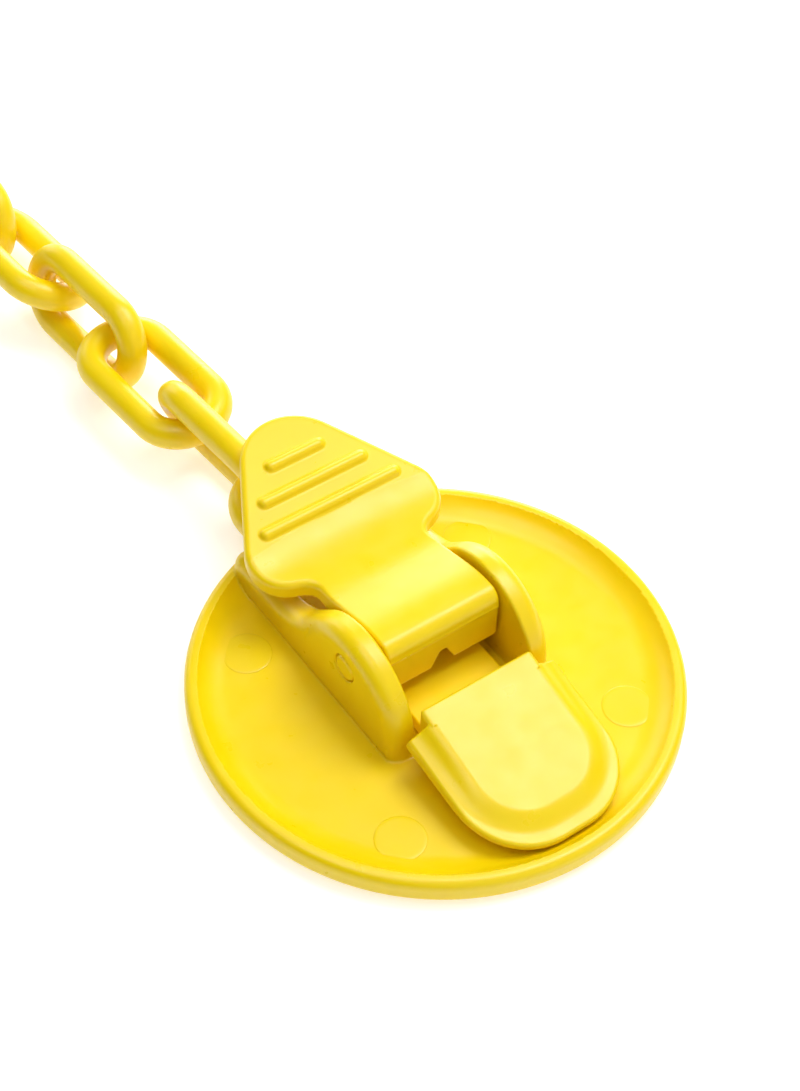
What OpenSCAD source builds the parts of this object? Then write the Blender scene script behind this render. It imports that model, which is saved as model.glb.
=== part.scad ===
// Disc clip on a plastic chain: a round disc that carries a lever clip on its back, a chain of
// moulded links behind it, and a plain ring at the far end.
//
// Frame: millimetres, +Z up. The disc lies with its plain front on z = 0 and its centre on the
// origin. The jaw points to -Y, the lever tip and the chain to +Y, and the lever turns about X.

/* [Disc] */
// Diameter of the disc
disc_d = 45; // [40:0.5:60]
// Height of the raised rim
disc_h = 2.8; // [2.6:0.1:3.4]
// Thickness of the disc inside the rim
disc_floor = 1.4; // [1.2:0.1:1.6]

/* [Housing] */
// Gap between the two side walls
wall_gap = 12.6; // [12.4:0.1:13]
// Thickness of a side wall
wall_t = 2.5; // [2.2:0.1:3]
// Radius of the round ear that holds the lever
ear_r = 7.3; // [7:0.1:7.6]
// Height of the low rear part of a side wall
rear_wall_z = 5; // [4.6:0.1:5.2]

/* [Lever] */
// Diameter of the lever's pivot stubs
stub_d = 2.7; // [2.2:0.1:3]
// Width of the lever between the ears
neck_w = 11.9; // [11:0.1:12]
// Thickness of the thumb tab
tab_t = 2; // [1.6:0.1:2.2]
// Height of the grip ridges above the tab
ridge_h = 0.55; // [0.3:0.05:0.8]

/* [Jaw] */
// Width of the jaw pad over its flange
pad_w = 15.8; // [14:0.1:16]
// Width of the raised middle of the pad
plateau_w = 11.9; // [10:0.1:12]
// Slope of the closed pad, nose down
pad_tilt = 11.4; // [9:0.1:12]
// Thickness of the pad's flange
flange_t = 0.95; // [0.9:0.05:1.2]

/* [Chain] */
// Length of a link over its ends
link_len = 19; // [18.6:0.1:19.4]
// Width of a link
link_w = 10.4; // [10.2:0.1:10.8]
// Thickness of a link's wire
link_t = 3; // [2.8:0.1:3]
// Distance from one link's centre to the next
link_pitch = 11.8; // [11.6:0.1:12]
// Angle by which the chain leaves the clip sideways
chain_yaw = 4.4; // [0:0.1:6]

/* [End ring] */
// Outer diameter of the end ring
ring_d = 24; // [22:0.5:28]
// Thickness of the ring's wire
ring_t = 3.2; // [3:0.1:3.4]

/* [Hidden] */
LINKS = 11;

$fn = 64;
fit = 0.05;                      // running clearance of a pivot, on the radius
eps = 0.02;                      // overlap that joins two shapes of one piece
plastic = "gold";

disc_r = disc_d / 2;
wall_in = wall_gap / 2;
wall_out = wall_in + wall_t;
ear_y = 1.8;                     // centre of the round ear
ear_z = 3.6;
lever_y = 1.9;                   // lever pivot
lever_z = 7.4;
hinge_y = 7;                     // jaw hinge, under the lever's neck
hinge_z = 3.2;
hinge_d = 2.3;

bow_t = 2.7;                     // wire of the bow that the chain hangs on
bow_x = 5.2;
bow_y = 26.8;
bow_z = 4.9;
bow_corner = 4.2;

// Points of a circular arc from angle a0 to a1, in degrees
function arc(cx, cy, r, a0, a1, n = 10) =
    [for (i = [0 : n]) let (a = a0 + (a1 - a0) * i / n) [cx + r * cos(a), cy + r * sin(a)]];

// Extrudes a side view, drawn as [y, z], over the width w, centred on x = 0
module side_view(points, w) {
    rotate([90, 0, 90])
        linear_extrude(height = w, center = true)
            polygon(points);
}

module cross_pin(y, z, d, w) {
    translate([-w / 2, y, z])
        rotate([0, 90, 0])
            cylinder(d = d, h = w);
}

// ---------------------------------------------------------------- disc with its housing

rim_round = 0.8;
foot_round = 1.1;
dish_slope = 48;                 // slope of the dish, in degrees, where it meets the rim
mark_d = 4.6;                    // round moulding marks on the floor
mark_xy = [12.4, 12];
mark_h = 0.08;
tooth_r = 0.35;                  // grip teeth under the jaw
tooth_ys = [-16.2, -14.6, -13];

module disc_plate() {
    lip_r = disc_r - rim_round * (1 + sin(dish_slope));
    lip_z = disc_h - rim_round * (1 - cos(dish_slope));
    dish_r = (lip_z - disc_floor) / (1 - cos(dish_slope));
    dish_x = lip_r - dish_r * sin(dish_slope);
    profile = concat(
        [[0, 0]],
        arc(disc_r - foot_round, foot_round, foot_round, -90, 0, 5),
        arc(disc_r - rim_round, disc_h - rim_round, rim_round, 0, 90 + dish_slope, 10),
        arc(dish_x, disc_floor + dish_r, dish_r, dish_slope - 90, -90, 8),
        [[0, disc_floor]]);
    rotate_extrude($fn = 180)
        polygon(profile);
}

module floor_details() {
    for (sx = [-1, 1], sy = [-1, 1])
        translate([sx * mark_xy[0], sy * mark_xy[1], disc_floor - eps])
            cylinder(d = mark_d, h = mark_h + eps);
    for (y = tooth_ys)
        cross_pin(y, disc_floor, 2 * tooth_r, 8);
}

// Side view of a wall: a round ear in front, a 45 degree slope, and a low part behind
function wall_points() =
    let (slope_y = ear_y + ear_r * cos(45), slope_z = ear_z + ear_r * sin(45), end_r = 1.6)
    concat(
        [[ear_y - ear_r, disc_floor - 0.4]],
        arc(ear_y, ear_z, ear_r, 180, 45, 30),
        [[slope_y + slope_z - rear_wall_z, rear_wall_z]],
        arc(20.6 - end_r, rear_wall_z - end_r, end_r, 90, 0, 6),
        [[20.6, disc_floor - 0.4]]);

module walls() {
    for (s = [-1, 1])
        translate([s * (wall_in + wall_out) / 2, 0, 0])
            side_view(wall_points(), wall_t);
}

module bow() {
    straight_y = bow_y - bow_corner;
    for (s = [-1, 1]) {
        translate([s * bow_x, 15.5, bow_z])
            rotate([-90, 0, 0])
                cylinder(d = bow_t, h = straight_y - 15.5);
        translate([s * (bow_x - bow_corner), straight_y, bow_z])
            rotate([0, 0, s > 0 ? 0 : 90])
                rotate_extrude(angle = 90)
                    translate([bow_corner, 0])
                        circle(d = bow_t);
    }
    cross_pin(bow_y, bow_z, bow_t, 2 * (bow_x - bow_corner));
}

module disc_base() {
    color(plastic)
        difference() {
            union() {
                disc_plate();
                floor_details();
                walls();
                bow();
            }
            cross_pin(lever_y, lever_z, stub_d + 2 * fit, 2 * wall_out + 1);
            cross_pin(hinge_y, hinge_z, hinge_d + 2 * fit, 2 * wall_in + 3);
        }
}

// ---------------------------------------------------------------- cam lever

cam_front = -0.85;                // flat front of the cam
cam_foot = 4.5;                  // underside of the cam
cam_rear = 4.4;
cam_corner = 0.7;
front_round = 1;
lobe = [6.3, 14.7, 3.75];        // x, y and radius of a lobe of the tab
tip = [0, 22.05, 5.5];           // the same for the tip
plane_y = 15.8;                  // where the ridged plane starts
plane_z = 9.43;
plane_slope = 0.18;
valley_y = 10;                   // lowest line between the plane and the neck
valley_z = 8.6;
neck_y = 1;                      // top of the neck
neck_z = 10.45;
neck_drop = 0.05;
tab_taper = 0.075;
cam_lobe_d = 2.4;                // rounded cam lobe that holds the jaw down
cam_lobe_z = 4.48;
ridges = [[16.85, 7.6], [19.75, 5.9], [22.8, 3.2]];   // y and half length

// Height of the lever's upper surface at y
function lever_top(y) =
    y > plane_y ? plane_z + plane_slope * (y - plane_y)
    : y > valley_y ? valley_z + (plane_z - valley_z) * pow((y - valley_y) / (plane_y - valley_y), 3)
    : y > neck_y ? valley_z + (neck_z - valley_z) * pow(sin(90 * (valley_y - y) / (valley_y - neck_y)), 2)
    : neck_z - neck_drop * pow(neck_y - y, 2);

// Thickness of the thumb tab at y, less towards the tip
function tab_depth(y) = tab_t - tab_taper * max(0, y - plane_y);

module tab_outline() {
    side = atan2(tip[1] - lobe[1], lobe[0] - tip[0]);
    reach = asin((lobe[2] - tip[2]) / norm([lobe[0], tip[1] - lobe[1]]));
    normal = 90 - side + reach;
    corner = function (c) [c[0] + c[2] * cos(normal), c[1] + c[2] * sin(normal)];
    translate([tip[0], tip[1]])
        circle(r = tip[2]);
    for (s = [-1, 1])
        scale([s, 1]) {
            translate([lobe[0], lobe[1]])
                circle(r = lobe[2]);
            polygon([[0, 10], [lobe[0], 10], corner(lobe), corner(tip), [0, tip[1]]]);
        }
    translate([-neck_w / 2, cam_front])
        square([neck_w, lobe[1] - cam_front]);
}

module cam_lever() {
    far = tip[1] + tip[2] + 1;
    top = [for (i = [0 : 40]) let (y = 0.1 + (far - 0.1) * i / 40) [y, lever_top(y)]];
    under = [for (i = [0 : 24]) let (y = far - (far - 7.6) * i / 24) [y, lever_top(y) - tab_depth(y)]];
    profile = concat(
        arc(cam_front + front_round, lever_top(0.1) - front_round, front_round, 180, 100, 6),
        top,
        under,
        [[cam_rear + 0.8, 7], [cam_rear, 6.2]],
        arc(cam_rear - cam_corner, cam_foot + cam_corner, cam_corner, 0, -90, 5),
        arc(cam_front + cam_corner, cam_foot + cam_corner, cam_corner, -90, -180, 5));
    color(plastic)
        union() {
            difference() {
                union() {
                    intersection() {
                        side_view(profile, 30);
                        linear_extrude(height = 20)
                            tab_outline();
                    }
                    cross_pin(lever_y, cam_lobe_z, cam_lobe_d, neck_w);
                }
                translate([0, cam_front - 1, cam_foot])
                    rotate([-90, 0, 0])
                        linear_extrude(height = cam_rear - cam_front + 2)
                            polygon([[-1.4, 1.5], [-1.4, 0], [-0.35, -2.2], [0.35, -2.2], [1.4, 0], [1.4, 1.5]]);
            }
            cross_pin(lever_y, lever_z, stub_d, 2 * wall_out - 0.1);
            for (r = ridges)
                hull()
                    for (s = [-1, 1])
                        translate([s * (r[1] - 0.5), r[0], lever_top(r[0]) + ridge_h - 0.5])
                            sphere(r = 0.5, $fn = 24);
        }
}

// ---------------------------------------------------------------- jaw

tail_w = 9.8;
tail_z = 3.2;
tail_t = 1.5;
pad_rear = -6.5;
pad_front = -20.75;
pad_corner = 6.6;
pad_z = 5.75;                    // upper edge of the flange at the rear
plateau_rear = -5.4;
plateau_front = -18.3;
plateau_corner = 5;
plateau_h = 1.3;                 // at the rear of the pad
plateau_tilt = 3.8;              // slope that the plateau has more than the flange
bevel_in = 1;                    // flat border of the flange outside the bevel
grip_foot = 1.8;

// Outline of a D: straight sides and a rounded front
module d_outline(w, rear, front, corner) {
    x = w / 2 - corner;
    hull() {
        for (s = [-1, 1])
            translate([s * x, front + corner])
                circle(r = corner, $fn = 64);
        translate([-w / 2, rear - 1])
            square([w, 1]);
    }
}

module jaw_pad() {
    translate([0, pad_rear, pad_z])
        rotate([pad_tilt, 0, 0])
            translate([0, -pad_rear, 0]) {
                translate([0, 0, -flange_t])
                    linear_extrude(height = flange_t)
                        d_outline(pad_w, pad_rear, pad_front, pad_corner);
                hull() {
                    translate([0, 0, -0.1])
                        linear_extrude(height = 0.12)
                            d_outline(pad_w - 2 * bevel_in, pad_rear, pad_front + bevel_in, pad_corner - bevel_in);
                    translate([0, pad_rear, plateau_h])
                        rotate([plateau_tilt, 0, 0])
                            translate([0, -pad_rear, -0.1])
                                linear_extrude(height = 0.1)
                                    d_outline(plateau_w, pad_rear + 1.3, plateau_front, plateau_corner);
                }
            }
}

// Height of the plateau's upper face at y
function plateau_top(y) =
    pad_z + plateau_h * cos(pad_tilt)
    + tan(pad_tilt + plateau_tilt) * (y - pad_rear + plateau_h * sin(pad_tilt));

module jaw() {
    body = [
        [plateau_rear, tail_z - tail_t],
        [plateau_rear, plateau_top(plateau_rear) - 0.05],
        [pad_rear - 0.9, pad_z],
        [-17, pad_z - 0.4 - tan(pad_tilt) * (17 + pad_rear)],
        [-17.4, grip_foot],
        [-9, grip_foot],
        [-8, tail_z - tail_t]];
    tail = [
        [-8.2, tail_z - tail_t],
        [hinge_y, tail_z - tail_t],
        [hinge_y, tail_z],
        [-8.2, tail_z]];
    color(plastic)
        union() {
            jaw_pad();
            side_view(body, plateau_w - 0.1);
            side_view(tail, tail_w);
            cross_pin(hinge_y, hinge_z, 3.4, 2 * wall_in - 0.4);
            cross_pin(hinge_y, hinge_z, hinge_d, 2 * wall_in + 2.8);
        }
}

// ---------------------------------------------------------------- chain

chain_x = -2.2;                  // centre of the first link
chain_y = 31.5;
chain_z = 5.1;

function link_at(i) =
    let (s = (i - 1) * link_pitch)
    [chain_x - s * sin(chain_yaw), chain_y + s * cos(chain_yaw), chain_z];

// Links stand and lie by turns
function link_roll(i) = i == 1 ? 111 : i == 2 ? 4 : i % 2 == 1 ? 75 : -24;

module link_shape() {
    r = (link_w - link_t) / 2;
    half = (link_len - link_w) / 2;
    for (s = [-1, 1]) {
        translate([s * r, -half, 0])
            rotate([-90, 0, 0])
                cylinder(d = link_t, h = 2 * half);
        translate([0, s * half, 0])
            rotate([0, 0, s > 0 ? 0 : 180])
                rotate_extrude(angle = 180)
                    translate([r, 0])
                        circle(d = link_t);
    }
}

module chain_link(i) {
    color(plastic)
        translate(link_at(i))
            rotate([0, 0, chain_yaw])
                rotate([0, -link_roll(i), 0])
                    link_shape();
}

// ---------------------------------------------------------------- end ring

ring_slack = 0.5;                // play between the ring and the last link

// The ring hangs in the last link at one side and rests on z = 0 at the other
module end_ring() {
    ring_r = (ring_d - ring_t) / 2;
    near_y = (link_len - link_t) / 2 - (link_t + ring_t) / 2 - ring_slack;
    droop = asin((chain_z - ring_t / 2) / (2 * ring_r));
    color(plastic)
        translate(link_at(LINKS))
            rotate([0, 0, chain_yaw])
                translate([0, near_y, 0])
                    rotate([-droop, 0, 0])
                        translate([0, ring_r, 0])
                            rotate_extrude($fn = 96)
                                translate([ring_r, 0])
                                    circle(d = ring_t);
}

disc_base();
cam_lever();
jaw();
chain_link(1);  // chain_link_01
chain_link(2);  // chain_link_02
chain_link(3);  // chain_link_03
chain_link(4);  // chain_link_04
chain_link(5);  // chain_link_05
chain_link(6);  // chain_link_06
chain_link(7);  // chain_link_07
chain_link(8);  // chain_link_08
chain_link(9);  // chain_link_09
chain_link(10);  // chain_link_10
chain_link(11);  // chain_link_11
end_ring();
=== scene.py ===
import math

import bpy
import numpy as np
from mathutils import Matrix, Vector


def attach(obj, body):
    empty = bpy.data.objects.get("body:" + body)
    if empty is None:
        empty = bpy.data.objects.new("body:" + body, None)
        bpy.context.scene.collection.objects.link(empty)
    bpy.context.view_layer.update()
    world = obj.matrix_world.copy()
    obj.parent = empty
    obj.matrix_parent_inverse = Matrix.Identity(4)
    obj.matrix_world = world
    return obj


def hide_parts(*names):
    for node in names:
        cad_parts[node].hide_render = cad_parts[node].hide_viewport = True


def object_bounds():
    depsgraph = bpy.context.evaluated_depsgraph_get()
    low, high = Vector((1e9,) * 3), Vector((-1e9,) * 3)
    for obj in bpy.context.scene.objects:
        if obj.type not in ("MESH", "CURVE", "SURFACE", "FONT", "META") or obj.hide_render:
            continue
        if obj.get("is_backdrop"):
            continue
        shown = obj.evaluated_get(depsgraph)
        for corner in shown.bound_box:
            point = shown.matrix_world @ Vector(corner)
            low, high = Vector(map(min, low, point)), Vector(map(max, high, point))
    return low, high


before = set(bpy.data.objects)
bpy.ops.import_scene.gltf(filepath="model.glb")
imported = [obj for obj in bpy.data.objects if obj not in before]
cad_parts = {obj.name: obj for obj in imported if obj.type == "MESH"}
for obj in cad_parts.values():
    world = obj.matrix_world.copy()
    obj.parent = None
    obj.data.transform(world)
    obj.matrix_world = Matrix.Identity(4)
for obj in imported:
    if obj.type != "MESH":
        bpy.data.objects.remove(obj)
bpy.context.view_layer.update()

# Sizes are in millimetres, in the frame of the CAD part, and become metres in the meshes. They
# repeat the sizes of the CAD part. Rounded edges, fillets, the bend of the lever's crest, its
# parting line and a tighter bore round the pivot stubs are only here.
MM = 0.001


# ------------------------------------------------------------------ signed distances

def meet(a, b, r):
    """Intersection of two solids, its edge rounded by r."""
    return np.minimum(np.maximum(a, b), -r) + np.hypot(np.maximum(a + r, 0), np.maximum(b + r, 0))


def join(a, b, r):
    """Union of two solids, with a fillet of r between them."""
    return np.maximum(np.minimum(a, b), r) - np.hypot(np.maximum(r - a, 0), np.maximum(r - b, 0))


def cut(a, b, r):
    """a without b, the new edge rounded by r."""
    return meet(a, -b, r)


def ease(t):
    """Smooth step from 0 to 1."""
    t = np.clip(t, 0, 1)
    return t * t * (3 - 2 * t)


def corner_of(qa, qb, corner):
    """Rounded corner of a plan: qa and qb are measured from the centre of its arc."""
    return np.hypot(np.maximum(qa, 0), np.maximum(qb, 0)) + np.minimum(np.maximum(qa, qb), 0) - corner


# ------------------------------------------------------------------ disc with walls and bow

DISC_R = 22.5
RIM_Z = 2.8
RIM_ROUND = 0.8
FOOT_ROUND = 1.1
FLOOR_Z = 1.4
DISH_R = 3.43           # radius with which the floor rises into the rim
DISH_FOOT = 18.56       # where it begins to rise

WALL_IN = 6.3
WALL_OUT = 8.8
WALL_FOOT = 0.7         # the walls begin inside the disc
WALL_ROUND = 1.45       # outer edge
WALL_EDGE = 0.25        # inner edge
EAR_Y = 1.8
EAR_Z = 3.6
EAR_R = 7.3
SLOPE_SUM = 15.72       # y + z on the slope behind the ear
SLOPE_FRONT = 6.9
REAR_Z = 5.0
REAR_Y = 20.6
REAR_ROUND = 1.6

BOW_HALF = 5.2          # to the centreline of its wire
BOW_REAR = 26.8
BOW_FRONT = 15.5
BOW_Z = 4.9
BOW_CORNER = 4.2
BOW_R = 1.35

PIVOT = (1.9, 7.4)      # y and z of the lever's pivot
PIVOT_R = 1.35
PIVOT_BORE = 1.37       # 1.4 in the CAD part
HINGE = (7.0, 3.2)      # y and z of the jaw's hinge
HINGE_R = 1.15
HINGE_BORE = 1.2
HINGE_DEPTH = 7.8

GRIP_RIBS = (-16.2, -14.6, -13.0)
GRIP_R = 0.35
GRIP_HALF = 4.0


def dish(r, z):
    """The space over the floor: flat in the middle, then a quarter circle, then straight up."""
    rise = np.hypot(r - DISH_FOOT, z - FLOOR_Z - DISH_R) - DISH_R
    rise = np.where(r < DISH_FOOT, FLOOR_Z - z, rise)
    return np.where((r >= DISH_FOOT) & (z > FLOOR_Z + DISH_R), r - DISH_FOOT - DISH_R, rise)


def side_wall(a, y, z):
    """Both walls at once, since a is the distance from the middle plane."""
    block = np.maximum(np.abs(y - EAR_Y) - EAR_R, z - EAR_Z)
    ear = np.minimum(np.hypot(y - EAR_Y, z - EAR_Z) - EAR_R, block)
    slope = np.maximum((y + z - SLOPE_SUM) / math.sqrt(2), SLOPE_FRONT - y)
    rear = np.maximum(meet(z - REAR_Z, y - REAR_Y, REAR_ROUND), -y)
    side = join(np.minimum(ear, slope), rear, REAR_ROUND)
    side = np.maximum(side, WALL_FOOT - z)
    return meet(meet(side, a - WALL_OUT, WALL_ROUND), WALL_IN - a, WALL_EDGE)


def bow(a, y, z):
    """The round wire behind the walls that holds the chain."""
    line = np.abs(corner_of(a - (BOW_HALF - BOW_CORNER), y - (BOW_REAR - BOW_CORNER), BOW_CORNER))
    return np.sqrt(line ** 2 + (z - BOW_Z) ** 2 + np.maximum(BOW_FRONT - y, 0) ** 2) - BOW_R


def disc_base(x, y, z):
    """The disc, its two walls, the bow and the grip ribs, one moulding."""
    a = np.abs(x)
    r = np.hypot(x, y)
    plate = meet(meet(r - DISC_R, z - RIM_Z, RIM_ROUND), -z, FOOT_ROUND)
    d = join(np.maximum(plate, -dish(r, z)), side_wall(a, y, z), 0.2)
    d = join(d, bow(a, y, z), 0.4)
    d = cut(d, np.hypot(y - PIVOT[0], z - PIVOT[1]) - PIVOT_BORE, 0.04)
    blind = np.maximum(np.hypot(y - HINGE[0], z - HINGE[1]) - HINGE_BORE, a - HINGE_DEPTH)
    d = cut(d, blind, 0.1)
    for rib_y in GRIP_RIBS:
        rib = meet(np.hypot(y - rib_y, z - FLOOR_Z) - GRIP_R, a - GRIP_HALF, 0.15)
        d = join(d, rib, 0.1)
    return d


# ------------------------------------------------------------------ lever

PLANE_Y = 15.8
PLANE_Z = 9.43
PLANE_SLOPE = 0.18
CREST_BACK = 0.3        # the crest lies this far behind PLANE_Y in the middle
CREST_BEND = 0.75       # and curves forward by this much at CREST_HALF
CREST_HALF = 9.5
VALLEY_Y = 10.0
VALLEY_Z = 8.6
SCOOP_POWER = 3.2
NECK_Y = 1.0
NECK_Z = 10.45
NECK_RISE = 1.85        # from the valley up to the neck
NOSE_DROP = 0.05
NECK_HALF = 6.0
NECK_END = 14.0
NECK_FILLET = 1.4
LOBE = (6.3, 14.7)      # centre and radius of the lobe at each side of the tab
LOBE_R = 3.75
TIP = (0.0, 22.05)      # and of its tip
TIP_R = 5.5
TAB_T = 2.0
TAB_TAPER = 0.075
CAM_REAR = 4.4
CAM_Z = 4.5
CAM_FRONT = -0.85
FOOT_Z = 4.48           # the round foot of the cam, under the pivot
FOOT_R = 1.2
LINE_Z = 8.7            # a faint parting line across the front of the neck
LINE_WIDTH = 0.2
LINE_DEPTH = 0.07
NOTCH_HALF = 1.4        # the notch in the cam narrows upwards
NOTCH_SLOPE = 0.477
NOTCH_SCALE = 0.9       # turns the slanted side into a distance, near enough
NOTCH_TOP = 6.7
STUB_END = 8.84         # half the length over both pivot stubs
SOFT_FROM = 8.0         # from here on the edge in plan grows softer,
SOFT_OVER = 3.0         # and has grown by SOFT_MORE after this length
SOFT_NECK = 0.3
SOFT_MORE = 0.35
RIDGES = ((16.85, 7.6), (19.75, 5.9), (22.8, 3.2))      # y and half length
RIDGE_R = 0.62
RIDGE_SUNK = 0.08


def lever_top(y, a=0.0):
    """Height of the lever's upper surface: the ridged plane, its crest, the scoop and the neck."""
    crest = PLANE_Y + CREST_BACK - CREST_BEND * (a / CREST_HALF) ** 2
    plane = PLANE_Z + PLANE_SLOPE * (y - PLANE_Y)
    t = np.clip((y - VALLEY_Y) / (crest - VALLEY_Y), 0, 1)
    edge = PLANE_Z + PLANE_SLOPE * (crest - PLANE_Y)
    scoop = VALLEY_Z + (edge - VALLEY_Z) * t ** SCOOP_POWER
    t = np.clip((VALLEY_Y - y) / (VALLEY_Y - NECK_Y), 0, 1)
    neck = VALLEY_Z + NECK_RISE * np.sin(np.pi / 2 * t) ** 2
    nose = NECK_Z - NOSE_DROP * (NECK_Y - y) ** 2
    front = np.where(y > NECK_Y, neck, nose)
    return np.where(y > crest, plane, np.where(y > VALLEY_Y, scoop, front))


def tab_plan(a, y):
    """Plan of the lever: the neck, the two lobes, the tip and what lies between them."""
    neck = np.maximum(a - NECK_HALF, y - NECK_END)
    # u runs from the lobe's centre to the tip's, v outwards from that line
    along = np.array(TIP) - np.array(LOBE)
    length = np.hypot(*along)
    along = along / length
    out = np.array([along[1], -along[0]])
    u = (a - LOBE[0]) * along[0] + (y - LOBE[1]) * along[1]
    v = (a - LOBE[0]) * out[0] + (y - LOBE[1]) * out[1]
    # the flank is the line that touches both circles
    sin = (LOBE_R - TIP_R) / length
    cos = math.sqrt(1 - sin * sin)
    t = u * cos - v * sin
    flank = u * sin + v * cos - LOBE_R
    low = np.hypot(u, v) - LOBE_R
    high = np.hypot(u - length, v) - TIP_R
    side = np.where(t < 0, low, np.where(t > length * cos, high, flank))
    belt = np.hypot(np.maximum(a - LOBE[0], 0), y - LOBE[1]) - LOBE_R
    middle = np.maximum(np.maximum(v, LOBE[1] - y), y - TIP[1])
    lobes = np.minimum(np.minimum(side, belt), middle)
    return join(neck, lobes, NECK_FILLET)


def cam_lever(x, y, z):
    """The lever with its cam, foot, pivot stubs and ridges, one moulding."""
    a = np.abs(x)
    top = lever_top(y, a)
    depth = TAB_T - TAB_TAPER * np.maximum(0, y - PLANE_Y)
    cam = meet(y - CAM_REAR, CAM_Z - z, 0.7)
    under = join(top - depth - z, cam, 0.8)
    front = CAM_FRONT - y - LINE_DEPTH * np.exp(-((z - LINE_Z) / LINE_WIDTH) ** 2)
    d = meet(under, front, 0.6)
    d = meet(d, z - top, 1.25)
    # the edge in plan is softer on the tab than on the neck
    soft = SOFT_NECK + SOFT_MORE * ease((y - SOFT_FROM) / SOFT_OVER)
    d = meet(d, tab_plan(a, y), soft)
    foot = meet(np.hypot(y - PIVOT[0], z - FOOT_Z) - FOOT_R, a - NECK_HALF, 0.2)
    d = join(d, foot, 0.2)
    notch = meet((a - NOTCH_HALF + (z - CAM_Z) * NOTCH_SLOPE) * NOTCH_SCALE, z - NOTCH_TOP, 0.3)
    d = cut(d, notch, 0.12)
    stub = meet(np.hypot(y - PIVOT[0], z - PIVOT[1]) - PIVOT_R, a - STUB_END, 0.5)
    d = np.minimum(d, stub)
    for ridge_y, half in RIDGES:
        ridge_z = float(lever_top(np.array(ridge_y))) - RIDGE_SUNK
        end = np.maximum(a - half + RIDGE_R, 0)
        ridge = np.sqrt(end ** 2 + (y - ridge_y) ** 2 + (z - ridge_z) ** 2) - RIDGE_R
        d = join(d, ridge, 0.22)
    return d


# ------------------------------------------------------------------ jaw

JAW_TILT = math.radians(11.4)
PAD_REAR = -6.5         # the pad tilts about its upper rear edge
PAD_Z = 5.75
PAD_HALF = 7.9
PAD_FRONT = -20.75
PAD_CORNER = 6.6
FLANGE_T = 0.95
FLANGE_ROUND = 0.35
PLATEAU_HALF = 5.95
PLATEAU_FRONT = -18.3
PLATEAU_CORNER = 5.0
PLATEAU_H = 1.3
PLATEAU_SLOPE = 0.066   # its top falls this much more than the flange for each millimetre
PLATEAU_FOOT = -0.6     # it begins inside the flange
BEVEL = 0.84            # the plateau's sides lean in by this much for each millimetre up
BEVEL_SCALE = 1.306     # the root of 1 + BEVEL squared
JAW_REAR = -5.4
NARROW_FRONT = -20.0
BLOCK_FRONT = -7.0
BLOCK_Z = 2.0
BODY_HALF = 5.65
BODY_Z = 1.8
BODY_FRONT = -17.4
BODY_REAR = -5.8
BODY_SUNK = 0.4         # its top lies this far under the upper face of the pad
TAIL_HALF = 4.9
TAIL_LOW = 1.7
TAIL_TOP = 3.2
TAIL_FRONT = -8.2
BARREL_R = 1.7
BARREL_HALF = 6.1
STUB_HALF = 7.7         # half the length over both hinge stubs


def d_plan(a, v, half, front, corner):
    """D shape with straight sides, open to the rear."""
    return corner_of(a - (half - corner), front + corner - v, corner)


def jaw(x, y, z):
    """The jaw with its pad, body, tail and hinge stubs, one moulding."""
    a = np.abs(x)
    # v and w are y and z in the frame of the tilted pad, w from its upper face
    dy = y - PAD_REAR
    dz = z - PAD_Z
    v = dy * math.cos(JAW_TILT) + dz * math.sin(JAW_TILT) + PAD_REAR
    w = -dy * math.sin(JAW_TILT) + dz * math.cos(JAW_TILT)
    # the flange, a thin D, and on it the plateau with sloping sides
    flange = meet(d_plan(a, v, PAD_HALF, PAD_FRONT, PAD_CORNER), w, FLANGE_ROUND)
    flange = meet(flange, -FLANGE_T - w, FLANGE_ROUND)
    flange = meet(flange, v - PAD_REAR, 0.25)
    rise = w - PLATEAU_H - PLATEAU_SLOPE * (v - PAD_REAR)
    side = d_plan(a, v, PLATEAU_HALF, PLATEAU_FRONT, PLATEAU_CORNER)
    side = (side + rise * BEVEL) / BEVEL_SCALE
    plateau = np.maximum(meet(side, rise, 0.5), PLATEAU_FOOT - w)
    d = join(flange, plateau, 0.85)
    # behind the flange only a narrower block goes on
    narrow = meet(a - PLATEAU_HALF, NARROW_FRONT - v, 0.1)
    d = meet(d, np.minimum(narrow, v - PAD_REAR), 0.25)
    block = meet(meet(a - PLATEAU_HALF, rise, 0.4), BLOCK_Z - z, 0.3)
    block = np.maximum(block, BLOCK_FRONT - v)
    d = meet(np.minimum(d, block), y - JAW_REAR, 0.35)
    # under the pad the body, behind it the tail with its barrel and two stubs
    body = meet(meet(a - BODY_HALF, BODY_Z - z, 0.2), w + BODY_SUNK, 0.1)
    body = np.maximum(body, np.maximum(y - BODY_REAR, BODY_FRONT - y))
    d = np.minimum(d, body)
    tail = meet(meet(a - TAIL_HALF, z - TAIL_TOP, 0.2), TAIL_LOW - z, 0.2)
    tail = np.maximum(tail, np.maximum(y - HINGE[0], TAIL_FRONT - y))
    d = join(d, tail, 0.3)
    from_hinge = np.hypot(y - HINGE[0], z - HINGE[1])
    d = join(d, meet(from_hinge - BARREL_R, a - BARREL_HALF, 0.2), 0.2)
    return np.minimum(d, meet(from_hinge - HINGE_R, a - STUB_HALF, 0.15))


# ------------------------------------------------------------------ meshes from distances

SLOPE_STEP = 0.004          # half the distance over which a slope is taken
NORMAL_STEP = 0.02          # and the same for the normals, which should be smoother
LEAST_SLOPE = 0.05          # keeps the steps finite where the slope vanishes
LONGEST_STEP = 0.2
SPREAD_ROUNDS = 4
SPREAD_SHARE = 0.6          # part of the way to the mean of the neighbours


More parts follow.
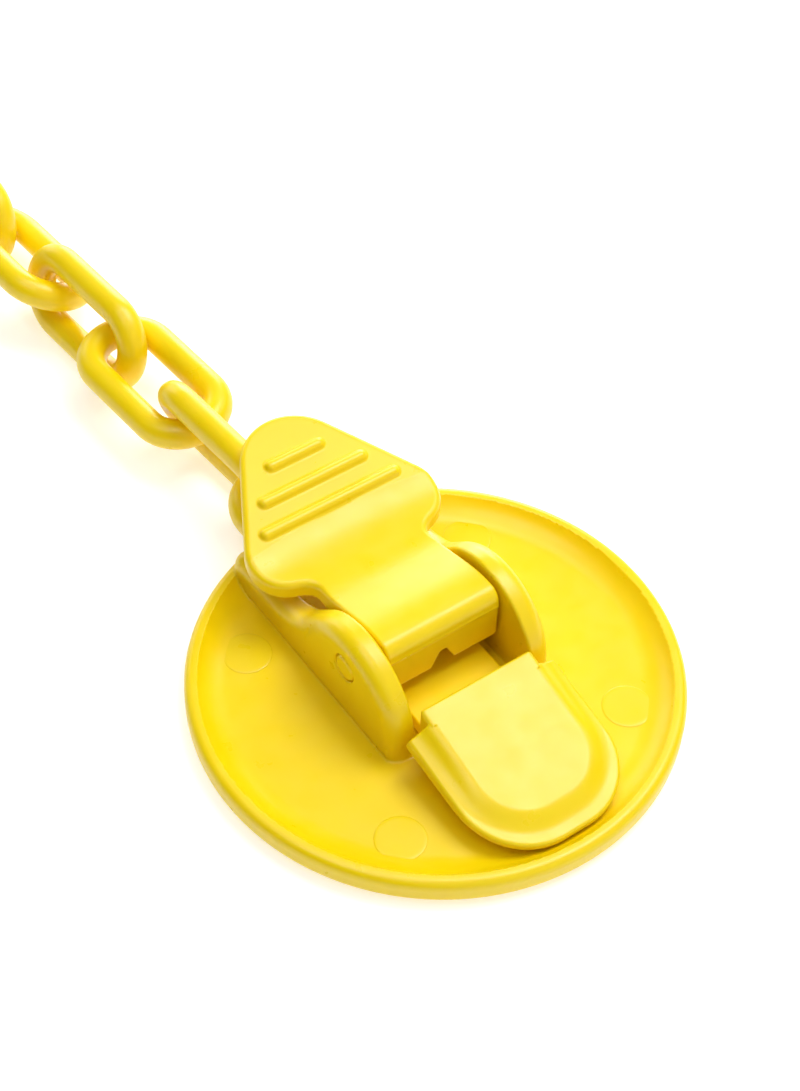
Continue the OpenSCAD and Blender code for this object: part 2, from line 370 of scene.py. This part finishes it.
def slope_of(solid, p, step):
    """Gradient of the distance at each point."""
    g = np.empty_like(p)
    for i in range(3):
        q = p.copy()
        q[:, i] += step
        hi = solid(q[:, 0], q[:, 1], q[:, 2])
        q[:, i] -= 2 * step
        g[:, i] = (hi - solid(q[:, 0], q[:, 1], q[:, 2])) / (2 * step)
    return g


def settle(solid, p, rounds):
    """Moves points onto the surface."""
    for _ in range(rounds):
        g = slope_of(solid, p, SLOPE_STEP)
        f = solid(p[:, 0], p[:, 1], p[:, 2])
        step = (f / np.maximum((g * g).sum(1), LEAST_SLOPE))[:, None] * g
        size = np.linalg.norm(step, axis=1, keepdims=True)
        p = p - step * np.minimum(1, LONGEST_STEP / np.maximum(size, 1e-9))
    return p


def crossed_cells(f, inside):
    """The grid cells that the surface crosses, their numbers, and a point in each, from 0 to 1."""
    shape = tuple(n - 1 for n in f.shape)
    corners = [(i, j, k) for i in (0, 1) for j in (0, 1) for k in (0, 1)]
    count = np.zeros(shape, np.int8)
    for i, j, k in corners:
        count += inside[i:i + shape[0], j:j + shape[1], k:k + shape[2]]
    active = (count > 0) & (count < 8)
    cells = np.argwhere(active)
    number = np.full(shape, -1, np.int64)
    number[active] = np.arange(len(cells))
    # the point is the mean of where the surface cuts the cell's edges
    total = np.zeros((len(cells), 3))
    hits = np.zeros(len(cells))
    for c in corners:
        for axis in range(3):
            if c[axis]:
                continue
            e = list(c)
            e[axis] = 1
            fa = f[cells[:, 0] + c[0], cells[:, 1] + c[1], cells[:, 2] + c[2]]
            fb = f[cells[:, 0] + e[0], cells[:, 1] + e[1], cells[:, 2] + e[2]]
            m = (fa < 0) != (fb < 0)
            point = np.tile(np.array(c, float), (m.sum(), 1))
            point[:, axis] = fa[m] / (fa[m] - fb[m])
            total[m] += point
            hits[m] += 1
    return cells, number, total / hits[:, None]


def crossed_edges(inside, number):
    """A quad for each grid edge that the surface crosses, through the four cells around it."""
    quads = []
    for axis in range(3):
        lower = [slice(1, -1)] * 3
        upper = [slice(1, -1)] * 3
        lower[axis] = slice(0, -1)
        upper[axis] = slice(1, None)
        s0, s1 = inside[tuple(lower)], inside[tuple(upper)]
        at = np.argwhere(s0 != s1)
        out = s0[tuple(at.T)]
        b, c = (axis + 1) % 3, (axis + 2) % 3
        ring = []
        for ob, oc in ((0, 0), (1, 0), (1, 1), (0, 1)):
            q = at.copy()
            q[:, b] += ob
            q[:, c] += oc
            ring.append(number[tuple(q.T)])
        ring = np.stack(ring, 1)
        ring[~out] = ring[~out][:, ::-1]
        quads.append(ring)
    return np.concatenate(quads)


def skin(solid, low, high, cell):
    """Points, quads and normals of a solid's surface, with one point in each cell it crosses."""
    axes = [np.arange(low[i], high[i] + cell, cell) for i in range(3)]
    f = solid(*np.meshgrid(*axes, indexing="ij"))
    inside = f < 0
    cells, number, place = crossed_cells(f, inside)
    quads = crossed_edges(inside, number)
    p = settle(solid, np.array(low, float) + cell * (cells + place), rounds=3)
    # spread the points evenly over the surface
    ends = np.concatenate([quads[:, [i, (i + 1) % 4]] for i in range(4)])
    both = np.concatenate([ends, ends[:, ::-1]])
    share = np.bincount(both[:, 0], minlength=len(p))
    for _ in range(SPREAD_ROUNDS):
        mean = np.stack([np.bincount(both[:, 0], p[both[:, 1], i], len(p)) for i in range(3)], 1)
        mean /= share[:, None]
        p = settle(solid, p + SPREAD_SHARE * (mean - p), rounds=2)
    normals = slope_of(solid, p, NORMAL_STEP)
    normals /= np.linalg.norm(normals, axis=1, keepdims=True)
    return p, quads, normals


def add(name, data):
    """Puts a mesh, light or camera in the scene."""
    o = bpy.data.objects.new(name, data)
    bpy.context.scene.collection.objects.link(o)
    return o


def make(name, points, faces, normals=None):
    """A smooth mesh from points in millimetres and faces with the same number of corners."""
    mesh = bpy.data.meshes.new(name)
    mesh.vertices.add(len(points))
    mesh.vertices.foreach_set("co", (np.asarray(points) * MM).astype(np.float32).ravel())
    faces = np.asarray(faces)
    size = faces.shape[1]
    mesh.loops.add(faces.size)
    mesh.loops.foreach_set("vertex_index", faces.astype(np.int32).ravel())
    mesh.polygons.add(len(faces))
    mesh.polygons.foreach_set("loop_start", np.arange(0, faces.size, size, dtype=np.int32))
    mesh.update(calc_edges=True)
    mesh.validate()
    mesh.shade_smooth()
    if normals is not None:
        mesh.normals_split_custom_set_from_vertices([tuple(n) for n in normals])
    return add(name, mesh)


# ------------------------------------------------------------------ plastic

def plastic(name, seed):
    """Glossy yellow moulded plastic: slight cloudiness, a fine skin texture and uneven gloss."""
    mat = bpy.data.materials.new(name)
    mat.use_nodes = True
    nt = mat.node_tree
    n, l = nt.nodes, nt.links
    b = n["Principled BSDF"]
    b.inputs["IOR"].default_value = 1.5
    b.inputs["Subsurface Weight"].default_value = 0.12
    b.inputs["Subsurface Radius"].default_value = (1.0, 0.55, 0.08)
    b.inputs["Subsurface Scale"].default_value = 0.0008
    coord = n.new("ShaderNodeTexCoord")
    place = n.new("ShaderNodeMapping")
    # the seed gives each piece a part of the noise of its own
    place.inputs["Location"].default_value = (0.013 * seed, 0.007 * seed, 0.003 * seed)
    l.new(coord.outputs["Object"], place.inputs["Vector"])

    def noise(scale, detail):
        t = n.new("ShaderNodeTexNoise")
        t.inputs["Scale"].default_value = scale
        t.inputs["Detail"].default_value = detail
        l.new(place.outputs["Vector"], t.inputs["Vector"])
        return t

    cloud = noise(scale=140.0, detail=3.0)
    ramp = n.new("ShaderNodeValToRGB")
    ramp.color_ramp.elements[0].position = 0.3
    ramp.color_ramp.elements[0].color = (0.94, 0.68, 0.0, 1)
    ramp.color_ramp.elements[1].position = 0.72
    ramp.color_ramp.elements[1].color = (0.97, 0.71, 0.0005, 1)
    l.new(cloud.outputs["Fac"], ramp.inputs["Fac"])
    l.new(ramp.outputs["Color"], b.inputs["Base Color"])

    wear = noise(scale=420.0, detail=5.0)
    gloss = n.new("ShaderNodeMapRange")
    gloss.inputs["From Min"].default_value = 0.3
    gloss.inputs["From Max"].default_value = 0.7
    gloss.inputs["To Min"].default_value = 0.27
    gloss.inputs["To Max"].default_value = 0.38
    l.new(wear.outputs["Fac"], gloss.inputs["Value"])
    l.new(gloss.outputs["Result"], b.inputs["Roughness"])

    # the fine texture of the mould, over broad waves from uneven shrinking
    grain = noise(scale=3800.0, detail=3.0)
    grain_bump = n.new("ShaderNodeBump")
    grain_bump.inputs["Strength"].default_value = 0.12
    grain_bump.inputs["Distance"].default_value = 0.00002
    l.new(grain.outputs["Fac"], grain_bump.inputs["Height"])
    wave_bump = n.new("ShaderNodeBump")
    wave_bump.inputs["Strength"].default_value = 0.05
    wave_bump.inputs["Distance"].default_value = 0.0002
    wave = noise(scale=90.0, detail=1.0)
    l.new(wave.outputs["Fac"], wave_bump.inputs["Height"])
    l.new(wave_bump.outputs["Normal"], grain_bump.inputs["Normal"])
    l.new(grain_bump.outputs["Normal"], b.inputs["Normal"])
    return mat


def dress(o, body, nodes, mat):
    """Gives a piece its material and its body, and hides the CAD nodes that it stands for."""
    o.data.materials.append(mat)
    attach(o, body)
    if nodes:
        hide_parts(*nodes)


# ------------------------------------------------------------------ clip

# solid, body, material, grid size, and the box that the grid fills, a little larger than the piece;
# a row's number is the seed of its plastic
MOULDED = (
    (disc_base, "clip_body", "plastic_disc", 0.26, (-23.1, -23.1, -0.6), (23.1, 28.9, 11.6)),
    (cam_lever, "lever", "plastic_lever", 0.16, (-10.9, -1.4, 2.8), (10.9, 28.3, 13.2)),
    (jaw, "jaw", "plastic_jaw", 0.16, (-8.4, -21.4, 0.9), (8.4, 9.2, 8.1)))
MARK_SEED = 1           # as on the disc
LINK_SEED = 4
RING_SEED = 17

coarse = 1.0
for seed, (solid, body, look, cell, low, high) in enumerate(MOULDED, 1):
    node = solid.__name__
    shell = make(node + "_shell", *skin(solid, low, high, cell * coarse))
    dress(shell, body, [node], plastic(look, seed))

# radius and height of a moulding mark, from the middle of its foot to the middle of its top
MARK_PROFILE = (
    (0, 1.2), (2.2, 1.2), (2.3, 1.3), (2.3, 1.41), (2.26, 1.435), (2.18, 1.45), (1.9, 1.45), (0, 1.45))
MARK_X = 12.4
MARK_Y = 12.0
MARK_STEPS = 64


def turned(name, profile, steps, centre):
    """A closed solid of revolution about Z, from (radius, height) points from axis to axis."""
    rings = profile[1:-1]
    points = []
    for r, z in rings:
        for i in range(steps):
            t = 2 * math.pi * i / steps
            points.append((centre[0] + r * math.cos(t), centre[1] + r * math.sin(t), z))
    points += [(centre[0], centre[1], profile[0][1]), (centre[0], centre[1], profile[-1][1])]
    foot = len(rings) * steps
    last = foot - steps
    sides, caps = [], []
    for k in range(len(rings) - 1):
        for i in range(steps):
            j = (i + 1) % steps
            sides.append((k * steps + i, k * steps + j, (k + 1) * steps + j, (k + 1) * steps + i))
    for i in range(steps):
        j = (i + 1) % steps
        caps.append((foot, j, i))
        caps.append((foot + 1, last + i, last + j))
    mesh = bpy.data.meshes.new(name)
    mesh.from_pydata([tuple(c * MM for c in v) for v in points], [], sides + caps)
    mesh.update()
    mesh.shade_smooth()
    return add(name, mesh)


mark_mat = plastic("plastic_marks", MARK_SEED)
for k, (sx, sy) in enumerate(((-1, -1), (1, -1), (-1, 1), (1, 1)), 1):
    mark = turned("moulding_mark_%d" % k, MARK_PROFILE, MARK_STEPS, (MARK_X * sx, MARK_Y * sy))
    dress(mark, "clip_body", [], mark_mat)


# ------------------------------------------------------------------ chain and end ring

LINKS = 11
LINK_LEN = 19.0
LINK_W = 10.4
LINK_T = 3.0
PITCH = 11.8
FIRST = np.array([-2.2, 31.5, 5.1])     # centre of the first link
YAW = math.radians(4.4)                 # the chain leads off to the left of straight back
ALONG = np.array([-math.sin(YAW), math.cos(YAW), 0.0])
# how far each link is rolled about the chain, in degrees
ROLLS = [111, 4] + [75 if i % 2 else -24 for i in range(3, LINKS + 1)]
END_STEPS = 26
SIDE_STEPS = 12
WIRE_STEPS = 28
RING_D = 24.0
RING_T = 3.2
RING_PLAY = 0.5
RING_STEPS = 128


def stadium(length, width):
    """Centreline of a link, and its direction at each point."""
    r = width / 2
    h = (length - width) / 2
    pts = []
    for i in range(SIDE_STEPS):
        pts.append((r, -h + 2 * h * i / SIDE_STEPS, 0.0, 1.0))
    for i in range(END_STEPS):
        t = math.pi * i / END_STEPS
        pts.append((r * math.cos(t), h + r * math.sin(t), -math.sin(t), math.cos(t)))
    for i in range(SIDE_STEPS):
        pts.append((-r, h - 2 * h * i / SIDE_STEPS, 0.0, -1.0))
    for i in range(END_STEPS):
        t = math.pi + math.pi * i / END_STEPS
        pts.append((r * math.cos(t), -h + r * math.sin(t), -math.sin(t), math.cos(t)))
    return pts


def wire(name, path, thick, centre, turn):
    """A closed ring of round wire along a flat path, turned and then moved to its centre."""
    r = thick / 2
    points = []
    for x, y, tx, ty in path:
        out = np.array([ty, -tx, 0.0])
        for i in range(WIRE_STEPS):
            t = 2 * math.pi * i / WIRE_STEPS
            c = np.array([x, y, 0.0]) + out * r * math.cos(t)
            c[2] += r * math.sin(t)
            points.append(c)
    faces = []
    for k in range(len(path)):
        m = (k + 1) % len(path)
        for i in range(WIRE_STEPS):
            j = (i + 1) % WIRE_STEPS
            faces.append((k * WIRE_STEPS + i, m * WIRE_STEPS + i, m * WIRE_STEPS + j, k * WIRE_STEPS + j))
    return make(name, np.array(points) @ np.array(turn).T + centre, faces)


link_path = stadium(LINK_LEN - LINK_T, LINK_W - LINK_T)
for i, roll in enumerate(ROLLS, 1):
    centre = FIRST + ALONG * PITCH * (i - 1)
    turn = Matrix.Rotation(YAW, 3, "Z") @ Matrix.Rotation(-math.radians(roll), 3, "Y")
    link = wire("link_%02d_wire" % i, link_path, LINK_T, centre, turn)
    dress(link, "link_%02d" % i, ["chain_link_%02d" % i], plastic("plastic_link_%02d" % i, LINK_SEED + i))

# the ring hangs in the last link and leans down until its far side lies on the floor
ring_r = (RING_D - RING_T) / 2
near = (LINK_LEN - LINK_T) / 2 - (LINK_T + RING_T) / 2 - RING_PLAY
droop = math.asin((FIRST[2] - RING_T / 2) / (2 * ring_r))
turn = Matrix.Rotation(YAW, 3, "Z") @ Matrix.Rotation(-droop, 3, "X")
centre = FIRST + ALONG * (PITCH * (LINKS - 1) + near) + np.array(turn) @ np.array([0, ring_r, 0])
ring_path = [(ring_r * math.cos(t), ring_r * math.sin(t), -math.sin(t), math.cos(t))
             for t in (2 * math.pi * k / RING_STEPS for k in range(RING_STEPS))]
ring = wire("end_ring_wire", ring_path, RING_T, centre, turn)
dress(ring, "end_ring", ["end_ring"], plastic("plastic_ring", RING_SEED))


# ------------------------------------------------------------------ floor and light, in metres

FLOOR_HALF = 40.0
FLOOR_DROP = 0.00005        # keeps the floor clear of the disc's face
LIGHT_AIM = Vector((0, 0.01, 0))
LIGHT_DIST = 0.7
# name, direction from the object, edge of the box, watts
LIGHTS = (
    ("over_plateau", (0.4, 0, 0.92), 0.35, 2.75),
    ("over_dish", (0.1, 0.26, 0.95), 0.25, 0.45),
    ("over_left", (-0.3, 0, 0.95), 0.35, 1.1),
    ("right", (0.75, 0, 0.66), 0.35, 0.6),
    ("low_right", (0.6, 0.75, 0.25), 0.35, 2.45),
    ("low_back", (0, 0.95, 0.3), 0.4, 0.9),
    ("low_front", (0.1, -0.8, 0.6), 1.0, 1.6))

mesh = bpy.data.meshes.new("floor")
corners = [(sx * FLOOR_HALF, sy * FLOOR_HALF, -FLOOR_DROP) for sx, sy in ((-1, -1), (1, -1), (1, 1), (-1, 1))]
mesh.from_pydata(corners, [], [(0, 1, 2, 3)])
floor = add("floor", mesh)
paper = bpy.data.materials.new("paper")
paper.use_nodes = True
surface = paper.node_tree.nodes["Principled BSDF"]
surface.inputs["Base Color"].default_value = (0.76, 0.76, 0.76, 1)
surface.inputs["Roughness"].default_value = 0.7
surface.inputs["Specular IOR Level"].default_value = 0.2
surface.inputs["Emission Color"].default_value = (1, 1, 1, 1)
surface.inputs["Emission Strength"].default_value = 0.5
floor.data.materials.append(paper)
floor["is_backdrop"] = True

world = bpy.data.worlds.new("studio")
bpy.context.scene.world = world
world.use_nodes = True
sky = world.node_tree.nodes["Background"]
sky.inputs["Color"].default_value = (1, 1, 1, 1)
sky.inputs["Strength"].default_value = 0.06

for name, toward, size, watts in LIGHTS:
    data = bpy.data.lights.new(name, "AREA")
    data.shape = "SQUARE"
    data.size = size
    data.energy = watts
    box = add(name, data)
    box.location = Vector(toward).normalized() * LIGHT_DIST + LIGHT_AIM
    box.rotation_mode = "QUATERNION"
    box.rotation_quaternion = (LIGHT_AIM - box.location).to_track_quat("-Z", "Y")

# ------------------------------------------------------------------ camera

# It stands where the photograph was taken from. Its distance is from the middle of the disc, and
# the two shifts move it across its line of sight, in millimetres.
AZIMUTH = math.radians(-37.28)
ELEVATION = math.radians(49.03)
ROLL = math.radians(2.51)
DISTANCE = 191.6
SHIFT_RIGHT = -3.17
SHIFT_UP = 12.97

flat = math.cos(ELEVATION)
back = Vector((math.sin(AZIMUTH) * flat, -math.cos(AZIMUTH) * flat, math.sin(ELEVATION)))
level = Vector((math.cos(AZIMUTH), math.sin(AZIMUTH), 0))
upright = back.cross(level)
right = level * math.cos(ROLL) + upright * math.sin(ROLL)
up = upright * math.cos(ROLL) - level * math.sin(ROLL)
eye = (back * DISTANCE + right * SHIFT_RIGHT + up * SHIFT_UP) * MM
lens = bpy.data.cameras.new("camera")
lens.lens = 70
lens.sensor_width = 36
lens.clip_start = 0.01
lens.clip_end = 200
camera = add("camera", lens)
camera.matrix_world = Matrix(((right.x, up.x, back.x, eye.x), (right.y, up.y, back.y, eye.y),
                              (right.z, up.z, back.z, eye.z), (0, 0, 0, 1)))
bpy.context.scene.camera = camera

bpy.context.scene.view_settings.view_transform = "Standard"
bpy.context.scene.view_settings.look = "None"

low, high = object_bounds()
